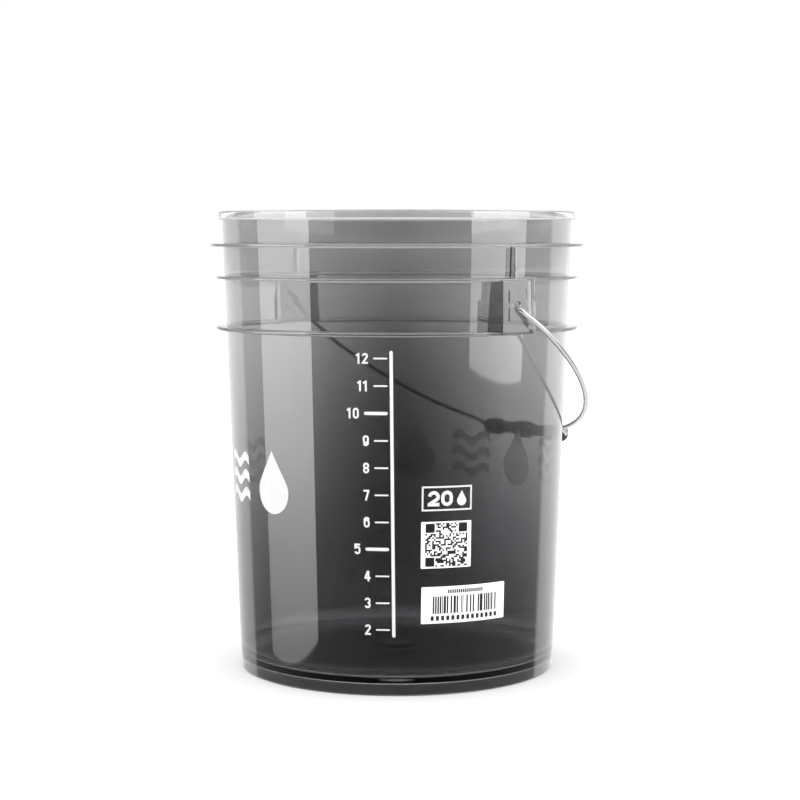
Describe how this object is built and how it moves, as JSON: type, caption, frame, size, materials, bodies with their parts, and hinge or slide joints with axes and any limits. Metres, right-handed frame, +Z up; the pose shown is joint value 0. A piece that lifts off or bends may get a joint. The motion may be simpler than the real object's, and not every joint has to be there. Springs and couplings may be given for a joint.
{
  "type": "see-through pail with bail handle",
  "caption": "Tall round see-through plastic bucket with a lid rim, stiffening rings, moulded ears, a swinging steel wire bail and a loose hand grip.",
  "frame": {"origin": "centre of the foot ring, on the surface the bucket stands on", "axes": "+Z up along the bucket's axis, +X through the handle's pivots, +Y towards the side that the handle hangs on"},
  "size_m": [0.312, 0.3004, 0.3685],
  "materials": {
    "smoked_plastic": "clear moulded plastic with a grey smoke tint, high gloss",
    "plated_steel": "bright zinc-plated drawn wire",
    "black_plastic": "satin moulded polyethylene",
    "label_film": "printed self-adhesive film, satin"
  },
  "bodies": {
    "bucket": {"bucket_moulding": "smoked_plastic", "instruction_label": "label_film", "barcode_label": "label_film"},
    "bail": {"bail_wire": "plated_steel"},
    "grip": {"hand_grip": "black_plastic"}
  },
  "joints": [
    {"name": "bail_swing", "type": "hinge", "parent": "bucket", "child": "bail", "pos_m": [0, 0, 0.2941], "axis": [1, 0, 0], "range_deg": [0, 256]},
    {"name": "grip_spin", "type": "hinge", "parent": "bail", "child": "grip", "pos_m": [0, 0.14184, 0.18328], "axis": [1, 0, 0], "continuous": true}
  ]
}
